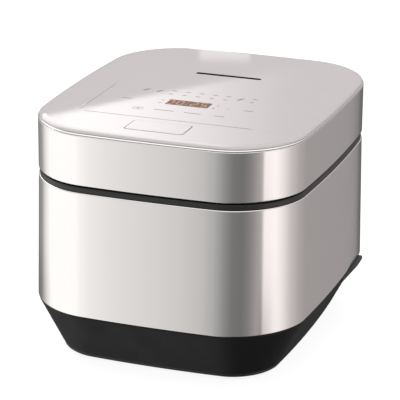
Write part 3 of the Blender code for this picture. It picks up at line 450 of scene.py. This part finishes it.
deck_low, deck_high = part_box("top_deck")[0].z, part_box("top_deck")[1].z
deck_mould = surface("deck_moulding", (0.012, 0.012, 0.0117), 0.36, mottle=0.08, grain=1700.0,
                     relief=0.00002)
DECK_UNDER, DECK_LEDGE, DECK_TOP = 0.1635, 0.1648, 0.1660
deck = piece("deck_frame", sweep([
    (0.0081, DECK_UNDER, 0), (0.0081, deck_low, 0), (0.0056, deck_low, 0), (0.0056, DECK_LEDGE, 0),
    (0.0010, DECK_LEDGE, 0), (0.0010, deck_high, 0.0011), (0.0055, deck_high, 0.0008),
    (0.0070, DECK_TOP, 0.0006), (0.0090, DECK_TOP, 0),
], capped=True), deck_mould, "root", ["top_deck"])
POT_HOLE, LATCH_HALF, LATCH_FRONT, LATCH_REAR = 0.1030, 0.0080, -0.1410, -0.1275
under_deck, over_deck = 0.15, 0.18
holes = bmesh.new()
rod(holes, (0, POT_Y, under_deck), (0, POT_Y, over_deck), POT_HOLE, 120)
block(holes, (-LATCH_HALF, LATCH_FRONT, under_deck), (LATCH_HALF, LATCH_REAR, over_deck), corner=0.0012)
cut(deck, holes)


# ---- Inner pot ------------------------------------------------------------
# Pressed aluminium pot with a turned-out flange that hangs on the deck. Dark
# non-stick coating inside and out, with fine pale flecks.

pot_low, pot_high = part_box("inner_pot")[0].z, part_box("inner_pot")[1].z
coating = surface("pot_coating", (0.030, 0.030, 0.031), 0.30, mottle=0.5, cloud=900.0, grain=2600.0,
                  relief=0.000008)
POT_WALL, POT_INSIDE, POT_KNEE = 0.0022, 0.0970, 0.0850
FLANGE, FLANGE_UNDER = 0.1070, 0.1663
pot_floor, pot_outside = pot_low + POT_WALL, POT_INSIDE + POT_WALL
piece("cooking_pot", turn([
    (0.0, pot_floor, 0), (POT_INSIDE - 0.0020, pot_floor, 0.0230), (POT_INSIDE, POT_KNEE, 0.010),
    (POT_INSIDE, pot_high, 0.0016), (FLANGE, pot_high, 0.0007), (FLANGE, FLANGE_UNDER, 0.0004),
    (pot_outside, FLANGE_UNDER, 0.0004), (pot_outside, POT_KNEE, 0.010),
    (pot_outside - 0.0017, pot_low, 0.0250), (0.0, pot_low, 0),
], (0.0, POT_Y), 120), coating, "root", ["inner_pot"])


# ---- Lid band -------------------------------------------------------------
# The lid's side: the same satin steel as the body, rolled in one hoop with its
# edges turned in, notched at the rear for the hinge.

lid_low, lid_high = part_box("lid_shell")[0].z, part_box("lid_shell")[1].z
BAND_TOP_LIP, BAND_FOOT_LIP = 0.0040, 0.0050
band = piece("lid_band", sweep([
    (0.0, lid_low, 0.0008), (0.0, lid_high, 0.0008), (BAND_TOP_LIP, lid_high, 0),
    (BAND_TOP_LIP, lid_high - SHEET, 0), (SHEET, lid_high - SHEET, 0),
    (SHEET, lid_low + SHEET, 0), (BAND_FOOT_LIP, lid_low + SHEET, 0), (BAND_FOOT_LIP, lid_low, 0),
]), steel_skin, "lid", ["lid_shell"])
NOTCH_HALF, NOTCH_TOP = 0.0560, 0.1990
notch = bmesh.new()
block(notch, (-NOTCH_HALF, 0.130, 0.165), (NOTCH_HALF, 0.160, NOTCH_TOP))
cut(band, notch)


# ---- Trim ring ------------------------------------------------------------
# Thin bright bead between the band and the panel, drawn from polished
# aluminium and bonded to the panel's edge.

bright = surface("bright_bead", (0.90, 0.915, 0.90), 0.12, metal=1.0, mottle=0.02, grain=2400.0,
                 relief=0.000002)
ring_low, ring_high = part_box("lid_trim_ring")[0].z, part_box("lid_trim_ring")[1].z
RING_INNER = 0.0038
piece("trim_bead", sweep([
    (0.0004, ring_low, 0.0001), (0.0, ring_low + 0.0005, 0.0003), (0.0009, ring_high, 0.0004),
    (RING_INNER, ring_high, 0), (RING_INNER, ring_low, 0),
]), bright, "lid", ["lid_trim_ring"])


# ---- Top panel ------------------------------------------------------------
# Glossy pale panel, clear over a warm pearl coat, rolled over at its edge. The
# control area is set a hair higher. It is cut for the button and the steam slot.


def level_off(thing):
    """Keeps large level faces truly flat to the light, so that reflections in them are straight."""
    for face in thing.data.polygons:
        if face.normal.z > 0.9999 and face.area > 0.00001:
            face.use_smooth = False


def pearl(name):
    """Clear gloss over a warm pearl coat, with the slight waviness of a moulding."""
    material = surface(name, (0.580, 0.540, 0.545), 0.020, mottle=0.015, cloud=30.0, grain=90.0,
                       relief=0.0000025)
    shader = material.node_tree.nodes["Principled BSDF"]
    shader.inputs["IOR"].default_value = 1.49
    return material


panel_skin = pearl("pearl_panel")
panel_low, panel_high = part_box("lid_top_panel")[0].z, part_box("lid_top_panel")[1].z
sheet = sweep([
    (0.0010, panel_low, 0), (0.0010, 0.2190, 0.0006), (0.0026, 0.2200, 0.0010),
    (0.0058, panel_high, 0.0014), (0.0078, panel_high, 0),
], capped=True)
AREA_LEFT, AREA_RIGHT, AREA_FRONT, AREA_REAR = -0.0880, 0.0930, -0.0905, 0.0075
AREA_RISE = 0.00012
for across, out in (((0.0, AREA_FRONT), (0, 1, 0)), ((0.0, AREA_REAR), (0, 1, 0)),
                    ((AREA_LEFT, 0.0), (1, 0, 0)), ((AREA_RIGHT, 0.0), (1, 0, 0))):
    level = [f for f in sheet.faces if f.normal.z > 0.99 and f.calc_area() > 0.0003]
    geom = level + list({e for f in level for e in f.edges} | {v for f in level for v in f.verts})
    bmesh.ops.bisect_plane(sheet, geom=geom, plane_co=(*across, 0.0), plane_no=out, dist=WELD)
area_middle = Vector(((AREA_LEFT + AREA_RIGHT) / 2, (AREA_FRONT + AREA_REAR) / 2))
pads = [f for f in sheet.faces if f.normal.z > 0.99
        and (f.calc_center_median().xy - area_middle).length < 0.02]
bmesh.ops.inset_region(sheet, faces=pads, thickness=0.0007, depth=AREA_RISE, use_even_offset=True)
panel = piece("top_panel", sheet, panel_skin, "lid", ["lid_top_panel"], 30.0)
BUTTON_X, BUTTON_Y = -0.0020, -0.1140
SLOT_LEFT, SLOT_RIGHT, SLOT_FRONT, SLOT_REAR = -0.0310, 0.0325, 0.0593, 0.0647
under_panel, over_panel = 0.21, 0.23


def button_block(bm, half_x, half_y, low, high, corner, soft=0.0):
    """A block on the button's upright axis."""
    block(bm, (BUTTON_X - half_x, BUTTON_Y - half_y, low),
          (BUTTON_X + half_x, BUTTON_Y + half_y, high), soft, corner)


def slot_block(bm, inwards, low, high, corner):
    """A block of the steam slot's outline, drawn in by a distance."""
    block(bm, (SLOT_LEFT + inwards, SLOT_FRONT + inwards, low),
          (SLOT_RIGHT - inwards, SLOT_REAR - inwards, high), corner=corner)


holes = bmesh.new()
button_block(holes, 0.0272, 0.0142, under_panel, over_panel, 0.0034)
slot_block(holes, 0.0, under_panel, over_panel, 0.0020)
cut(panel, holes)
level_off(panel)
# Near-black with almost no gloss: painted shade for the inside of the steam slot and the gap round the
# button.
painted_shade_black = surface("painted_shade_black", (0.004, 0.004, 0.004), 0.85, mottle=0.2, grain=1500.0, relief=0.00003)
painted_shade_black.node_tree.nodes["Principled BSDF"].inputs["Specular IOR Level"].default_value = 0.05
# Painted shade: a near-black sheet sunk in the steam slot stands for the shade inside it.
mouth = bmesh.new()
slot_block(mouth, 0.0001, panel_low + 0.0001, panel_high - 0.0002, 0.0019)
shade_sheet = piece("slot_shade_sheet", mouth, painted_shade_black, "lid")
passage = bmesh.new()
slot_block(passage, 0.0006, under_panel, over_panel, 0.0014)
cut(shade_sheet, passage)


# ---- Printed marks, painted crease shade ----------------------------------
# Fine grey legends screen-printed on the panel: menu marks in two rows, a bar
# for each touch key, two little key symbols; plain shapes, no words. Two grey
# hairlines along two sides of the control area are painted shade in its crease.

# The grey ink also paints the shade in the crease along the control area.
print_and_shade_ink = surface("grey_ink_and_crease_shade", (0.085, 0.070, 0.070), 0.45, mottle=0.10, cloud=300.0, grain=1800.0,
              relief=0.000002)
print_and_shade_ink.node_tree.nodes["Principled BSDF"].inputs["Specular IOR Level"].default_value = 0.15
INK_LOW = panel_high + 0.00013
BAR, CREASE_SHADE_WIDTH, SYMBOL_LINE = 0.0009, 0.0003, 0.0004
MENU_REAR, MENU_FRONT, FLASH_Y = -0.0035, -0.0140, -0.0088
TOUCH_REAR, TOUCH_FRONT, SYMBOL_Y = -0.0400, -0.0645, -0.0660
marks = bmesh.new()


def mark(bm, x, y, length, width, lean=0.0, low=INK_LOW, thick=0.00003):
    """A flat bar on the panel, turned by an angle."""
    place = Matrix.Translation((x, y, low + thick / 2)) @ Matrix.Rotation(math.radians(lean), 4, "Z")
    size = Matrix.Diagonal((length, width, thick, 1.0))
    bmesh.ops.create_cube(bm, size=1.0, matrix=place @ size)


for column in (-28.0, -15.0, -2.0, 11.0, 24.0, 49.0):
    mark(marks, column / 1000, MENU_REAR, 0.0046, 0.0010)
    mark(marks, column / 1000, MENU_FRONT, 0.0040, 0.0010)
for column in (-54.0, -41.0, 36.0):
    mark(marks, column / 1000, FLASH_Y, 0.0060, 0.0016, 62.0)
    mark(marks, column / 1000 + 0.0022, FLASH_Y + 0.0036, 0.0024, 0.0010, 20.0)
for x, y, length in ((-0.0600, TOUCH_REAR, 0.0100), (0.0545, TOUCH_REAR, 0.0080),
                     (0.0357, TOUCH_REAR, 0.0016), (-0.0158, TOUCH_FRONT, 0.0185),
                     (0.0112, TOUCH_FRONT, 0.0152), (0.0358, TOUCH_FRONT, 0.0096)):
    mark(marks, x, y, length, BAR)
for x, y, lean in ((-0.0275, -0.0347, 0.0), (-0.0274, -0.0435, 0.0), (0.0230, -0.0436, 70.0),
                   (0.0245, -0.0347, 70.0)):
    mark(marks, x, y, 0.0030, BAR, lean)
for x in (-0.0418, -0.0370):
    for dx, dy, length, lean in ((0, 0.0030, 0.0040, 0), (0, -0.0030, 0.0040, 0),
                                 (-0.0018, 0, 0.0060, 90), (0.0018, 0, 0.0060, 90)):
        mark(marks, x + dx, SYMBOL_Y + dy, length, SYMBOL_LINE, lean)
# Painted shade: two grey hairlines at the foot of the control area's front and left steps, where its
# crease lies.
mark(marks, -0.0035, AREA_FRONT, 0.1550, CREASE_SHADE_WIDTH)
mark(marks, -0.0865, -0.0450, 0.0880, CREASE_SHADE_WIDTH, 90.0)
piece("printed_marks_and_crease_shade", marks, print_and_shade_ink, "lid")


# ---- Clock display --------------------------------------------------------
# Smoked window in the control area with four amber figures and a colon, which
# stand for the lit segments of the display fixed under the panel. They show a time.

glass = surface("display_window", (0.120, 0.048, 0.034), 0.34, mottle=0.15, cloud=120.0, grain=400.0,
                relief=0.000002)
glass.node_tree.nodes["Principled BSDF"].inputs["Specular IOR Level"].default_value = 0.22
CLOCK_Y = -0.03775
DIGIT_LOW = INK_LOW + 0.00005
window = bmesh.new()
block(window, (-0.0222, CLOCK_Y - 0.00775, INK_LOW), (0.0178, CLOCK_Y + 0.00775, INK_LOW + 0.00004),
      corner=0.0008)
piece("display_glass", window, glass, "lid")
amber = surface("amber_glow", (0.62, 0.26, 0.11), 0.40, mottle=0.15, cloud=400.0, grain=900.0,
                relief=0.000002)
shader = amber.node_tree.nodes["Principled BSDF"]
shader.inputs["Emission Color"].default_value = (1.0, 0.36, 0.08, 1.0)
shader.inputs["Emission Strength"].default_value = 0.30
SEGMENTS = {"0": "abcdef", "2": "abged", "5": "afgcd"}
digits = bmesh.new()
for x, figure in zip((-0.0192, -0.0101, 0.0031, 0.0122), "0025"):
    bars = {"a": (0, 5.2, 0), "g": (0, 0, 0), "d": (0, -5.2, 0), "b": (2.6, 2.6, 90),
            "c": (2.6, -2.6, 90), "e": (-2.6, -2.6, 90), "f": (-2.6, 2.6, 90)}
    for letter in SEGMENTS[figure]:
        dx, dy, lean = bars[letter]
        mark(digits, x + dx / 1000, CLOCK_Y + dy / 1000, 0.0040, 0.0009, lean, DIGIT_LOW)
for dy in (-0.0024, 0.0024):
    mark(digits, -0.0035, CLOCK_Y + dy, 0.0010, 0.0010, 0.0, DIGIT_LOW)
piece("clock_digits", digits, amber, "lid")


# ---- Release button -------------------------------------------------------
# Pressed to open the lid: a shallow key in the panel's own finish with round
# corners, on a flange that stops it under the panel and a stem to the hook.

key_low, key_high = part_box("lid_button")[0].z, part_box("lid_button")[1].z
KEY_UNDER, BUTTON_FLANGE_TOP, BUTTON_FLANGE_UNDER = 0.2178, 0.2177, 0.2164
key = bmesh.new()
button_block(key, 0.0265, 0.0135, KEY_UNDER, key_high, 0.0030, soft=0.0004)
button = piece("release_button", key, panel_skin, "lid_button", ["lid_button"], 30.0)
level_off(button)
# The flange is near-black with almost no gloss: painted shade in the gap round the key.
flange = bmesh.new()
button_block(flange, 0.0283, 0.0148, BUTTON_FLANGE_UNDER, BUTTON_FLANGE_TOP, 0.0034)
guide = piece("button_flange", flange, painted_shade_black, "lid_button")
stem = bmesh.new()
rod(stem, (BUTTON_X, BUTTON_Y, key_low), (BUTTON_X, BUTTON_Y, BUTTON_FLANGE_UNDER + 0.0004), 0.0030)
cut(guide, stem, "UNION")


# ---- Return springs -------------------------------------------------------
# Wound steel wire: one lifts the release button, the other presses the pot's
# sensor upwards. Each is seated at both ends.

bare_steel = surface("plain_steel", (0.55, 0.55, 0.56), 0.30, metal=1.0, mottle=0.06, grain=2600.0,
                     relief=0.000006)
STEPS_PER_TURN = 28


def spring(name, node, radius, wire, turns):
    """A coil that spans a part from its foot to its top."""
    low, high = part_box(node)
    middle = (low + high) / 2
    foot, top = low.z + wire, high.z - wire
    bm = bmesh.new()
    start = Matrix.Translation((middle.x + radius, middle.y, foot)) @ Matrix.Rotation(math.pi / 2, 4, "X")
    ring = bmesh.ops.create_circle(bm, cap_ends=False, segments=12, radius=wire, matrix=start)["verts"]
    steps = int(turns * STEPS_PER_TURN)
    bmesh.ops.spin(bm, geom=ring + bm.edges[:], cent=(middle.x, middle.y, 0.0), axis=(0, 0, 1),
                   dvec=(0, 0, (top - foot) / steps), angle=2 * math.pi * turns, steps=steps,
                   use_merge=False, use_duplicate=False)
    bmesh.ops.holes_fill(bm, edges=bm.edges[:], sides=0)
    bmesh.ops.recalc_face_normals(bm, faces=bm.faces)
    made = piece(name, bm, bare_steel, None, [node])
    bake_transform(made)


spring("button_return_spring", "button_spring", radius=0.0050, wire=0.0005, turns=3.5)
spring("sensor_return_spring", "sensor_spring", radius=0.0070, wire=0.0005, turns=3.5)


# ---- Pieces that keep their plain form ------------------------------------
# Mouldings, springs, screws, boards and windings whose shape needs no more
# work. Each gets the finish of its own material.


def dress(material, *names):
    """Gives modelled pieces their finish."""
    for name in names:
        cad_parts[name].data.materials.clear()
        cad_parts[name].data.materials.append(material)


grey_mould = surface("grey_moulding", (0.17, 0.17, 0.17), 0.48, mottle=0.06, grain=1500.0,
                     relief=0.00002)
dress(grey_mould, "lid_frame", "steam_valve", "button_housing", "pot_well",
      "coil_carrier", "sensor_housing", *["support_post_" + quarter for quarter in QUARTERS])
dress(black_mould, "hinge_bracket", "hinge_arm_left", "hinge_arm_right", "power_lead",
      "fan_housing", "fan_rotor", "latch_bracket", "steam_duct")
silicone = surface("lid_silicone", (0.42, 0.41, 0.39), 0.55, mottle=0.05, grain=1800.0,
                   relief=0.000015)
dress(silicone, "lid_gasket")
dress(bare_steel, "hinge_pin", "hinge_spring_left", "hinge_spring_right", "latch_hook", "latch_pin",
      "latch_catch", "lid_sensor", *["base_screw_" + quarter for quarter in QUARTERS])
spun = surface("spun_aluminium", (0.70, 0.70, 0.71), 0.32, metal=1.0, mottle=0.05, grain=2200.0,
               relief=0.000006)
dress(spun, "inner_lid", "bottom_sensor", "heat_sink")
copper = surface("copper_strand", (0.50, 0.22, 0.10), 0.40, metal=0.9, mottle=0.15, cloud=200.0,
                 grain=2000.0, relief=0.00005)
dress(copper, "induction_coil_bottom", "induction_coil_side")
ferrite = surface("sintered_ferrite", (0.030, 0.030, 0.034), 0.62, mottle=0.15, cloud=300.0,
                  grain=2600.0, relief=0.00003)
dress(ferrite, "ferrite_bar_1", "ferrite_bar_2", "ferrite_bar_3", "ferrite_bar_4")
board = surface("green_board", (0.022, 0.11, 0.048), 0.42, mottle=0.20, cloud=260.0, grain=1400.0,
                relief=0.00002)
dress(board, "power_board", "control_board")
dress(amber, "display_module")


# ---- Studio ---------------------------------------------------------------
# A white table, a soft white room and a camera in front, to the right and
# above. The room's brightness changes with direction, as tall soft lights do.

white = surface("white_table", (0.20, 0.20, 0.20), 0.75, mottle=0.01, cloud=3.0, grain=300.0,
                relief=0.00001)
nodes, links = white.node_tree.nodes, white.node_tree.links
shader = nodes["Principled BSDF"]
shader.inputs["Specular IOR Level"].default_value = 0.1
shader.inputs["Emission Color"].default_value = (1.0, 1.0, 1.0, 1.0)
shader.inputs["Emission Strength"].default_value = 0.90
underside = nodes.new("ShaderNodeNewGeometry")
clear = nodes.new("ShaderNodeBsdfTransparent")
either = nodes.new("ShaderNodeMixShader")
links.new(underside.outputs["Backfacing"], either.inputs["Fac"])
links.new(shader.outputs["BSDF"], either.inputs[1])
links.new(clear.outputs["BSDF"], either.inputs[2])
links.new(either.outputs["Shader"], nodes["Material Output"].inputs["Surface"])
table = bmesh.new()
bmesh.ops.create_grid(table, x_segments=2, y_segments=2, size=20.0)
mesh = bpy.data.meshes.new("table")
table.to_mesh(mesh)
table.free()
mesh.materials.append(white)
floor = bpy.data.objects.new("table", mesh)
room.objects.link(floor)
floor.visible_glossy = False
floor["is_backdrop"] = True

scene = bpy.context.scene
scene.view_settings.view_transform = "Standard"
world = bpy.data.worlds.new("soft_room")
scene.world = world
world.use_nodes = True
nodes, links = world.node_tree.nodes, world.node_tree.links
sky = nodes["Background"]


def maths(operation, *values):
    """A maths node fed with numbers or sockets."""
    node = nodes.new("ShaderNodeMath")
    node.operation = operation
    for socket, value in zip(node.inputs, values):
        if isinstance(value, bpy.types.NodeSocket):
            links.new(value, socket)
        else:
            socket.default_value = value
    return node.outputs[0]


def step(value, low, high, start=0.0, end=1.0, kind="SMOOTHSTEP"):
    """A change from start to end, smooth unless kind says otherwise, as value goes from low to high."""
    node = nodes.new("ShaderNodeMapRange")
    node.interpolation_type = kind
    links.new(value, node.inputs["Value"])
    for socket, number in zip(("From Min", "From Max", "To Min", "To Max"), (low, high, start, end)):
        node.inputs[socket].default_value = number
    return node.outputs["Result"]


# Bearing and height of a direction in degrees, with bearing 0 in front and 90 at the right.
heading = nodes.new("ShaderNodeTexCoord")
split = nodes.new("ShaderNodeSeparateXYZ")
links.new(heading.outputs["Generated"], split.inputs["Vector"])
x, y, z = split.outputs
bearing = maths("MULTIPLY", maths("ARCTAN2", x, maths("MULTIPLY", y, -1.0)), 180 / math.pi)
height = maths("MULTIPLY", maths("ARCSINE", z), 180 / math.pi)

# Walls: their brightness all round, as (bearing, light). A ramp holds at most 1, so it holds half.
walls = nodes.new("ShaderNodeValToRGB")
links.new(step(bearing, -180.0, 180.0, kind="LINEAR"), walls.inputs["Fac"])
WALLS = (
    (-180, 0.14), (-150, 0.20), (-122, 0.34), (-108, 0.85), (-95, 1.13), (-50, 1.15), (-34, 1.10),
    (-29, 1.02), (-27, 0.90), (-24, 0.81), (-20, 0.74), (-17, 0.69), (-15, 0.62), (-13, 0.50),
    (-8, 0.43), (7, 0.29), (20, 0.20), (35, 0.18), (46, 0.24), (57, 0.38), (65, 0.52), (66, 1.10),
    (84, 1.12), (97, 0.90), (111, 0.62), (131, 0.45), (158, 0.36), (169, 0.35), (171, 0.14),
)
ramp = walls.color_ramp.elements
while len(ramp) < len(WALLS):
    ramp.new(0.5)
for stop, (degrees, level) in zip(ramp, WALLS):
    stop.position = (degrees + 180) / 360
    stop.color = (level * 0.5, level * 0.5, level * 0.5, 1.0)
low_room = maths("MULTIPLY", walls.outputs["Color"], 2.0)

# Low down, the walls at the right and behind at the left are dimmed; further down, all of them.
veil = maths("MULTIPLY", step(bearing, 56.0, 64.0), step(bearing, 66.0, 94.0, 0.52, 0.0))
veil = maths("ADD", veil, step(bearing, -112.0, -84.0, 0.30, 0.0))
veil = maths("MULTIPLY", veil, step(height, -20.6, -19.4, 1.0, 0.0))
low_room = maths("MULTIPLY", low_room, maths("SUBTRACT", 1.0, veil))
deep = maths("MULTIPLY", step(height, -45.0, -30.0, 1.0, 0.0), step(bearing, -30.0, 30.0, 0.30, 0.85))
low_room = maths("MULTIPLY", low_room, maths("SUBTRACT", 1.0, deep))

# The upper room brightens towards the ceiling and takes over from the walls at eye level.
high_room = step(height, 12.0, 60.0, 0.51, 1.25)
share = step(height, -6.0, 9.0)
light = maths("ADD", maths("MULTIPLY", low_room, maths("SUBTRACT", 1.0, share)),
              maths("MULTIPLY", high_room, share))

# A large soft box behind at the left, with a slanting lower edge, is mirrored in the panel.
EDGE_SLOPE, EDGE_HEIGHT, EDGE_BEARING = 0.19, 16.58, -156.4
edge = maths("ADD", maths("MULTIPLY", bearing, EDGE_SLOPE), EDGE_HEIGHT - EDGE_BEARING * EDGE_SLOPE)
box_light = maths("MULTIPLY", step(maths("SUBTRACT", height, edge), -0.06, 0.10),
                  step(bearing, -163.5, -156.8, 0.0, 1.95))
box_light = maths("MULTIPLY", box_light, step(bearing, -110.0, -80.0, 1.0, 0.0))
box_light = maths("MULTIPLY", box_light, step(height, 35.0, 50.0, 1.0, 0.0))
light = maths("ADD", light, box_light)

# A narrow lit doorway stands beside it, lower down.
door = maths("MULTIPLY", step(bearing, -161.8, -161.6), step(bearing, -160.4, -160.2, 0.75, 0.0))
light = maths("ADD", light, maths("MULTIPLY", door, step(height, 15.0, 15.3, 1.0, 0.0)))
links.new(light, sky.inputs["Strength"])

# Seen directly, the room is plain white.
path = nodes.new("ShaderNodeLightPath")
plain = nodes.new("ShaderNodeBackground")
choose = nodes.new("ShaderNodeMixShader")
links.new(path.outputs["Is Camera Ray"], choose.inputs["Fac"])
links.new(sky.outputs["Background"], choose.inputs[1])
links.new(plain.outputs["Background"], choose.inputs[2])
links.new(choose.outputs["Shader"], nodes["World Output"].inputs["Surface"])

# The room at the right is slightly rosy, most of all low down.
blush = nodes.new("ShaderNodeMix")
blush.data_type = "RGBA"
blush.inputs["A"].default_value = (1.0, 0.992, 0.985, 1.0)
blush.inputs["B"].default_value = (1.0, 0.945, 0.940, 1.0)
warm_side = maths("MULTIPLY", step(bearing, 30.0, 60.0), step(bearing, 165.0, 175.0, 1.0, 0.0))
links.new(maths("MULTIPLY", warm_side, step(height, -6.0, 9.0, 1.0, 0.4)), blush.inputs["Factor"])
links.new(blush.outputs["Result"], sky.inputs["Color"])
plain.inputs["Color"].default_value = (1.0, 1.0, 1.0, 1.0)
plain.inputs["Strength"].default_value = 1.05

lens = bpy.data.cameras.new("camera")
lens.lens = 192.0
lens.sensor_width = 36.0
camera = bpy.data.objects.new("camera", lens)
room.objects.link(camera)
around, above, roll = math.radians(19.65), math.radians(18.92), math.radians(0.52)
aim, distance = Vector((-0.0042, 0.0, 0.1181)), 1.96
back = Vector((math.sin(around) * math.cos(above), -math.cos(around) * math.cos(above), math.sin(above)))
camera.location = aim + back * distance
tilt = Quaternion((0.0, 0.0, 1.0), roll)
camera.rotation_euler = (back.to_track_quat("Z", "Y") @ tilt).to_euler()
lens.clip_start, lens.clip_end = 0.05, 100.0
scene.camera = camera

low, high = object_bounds()
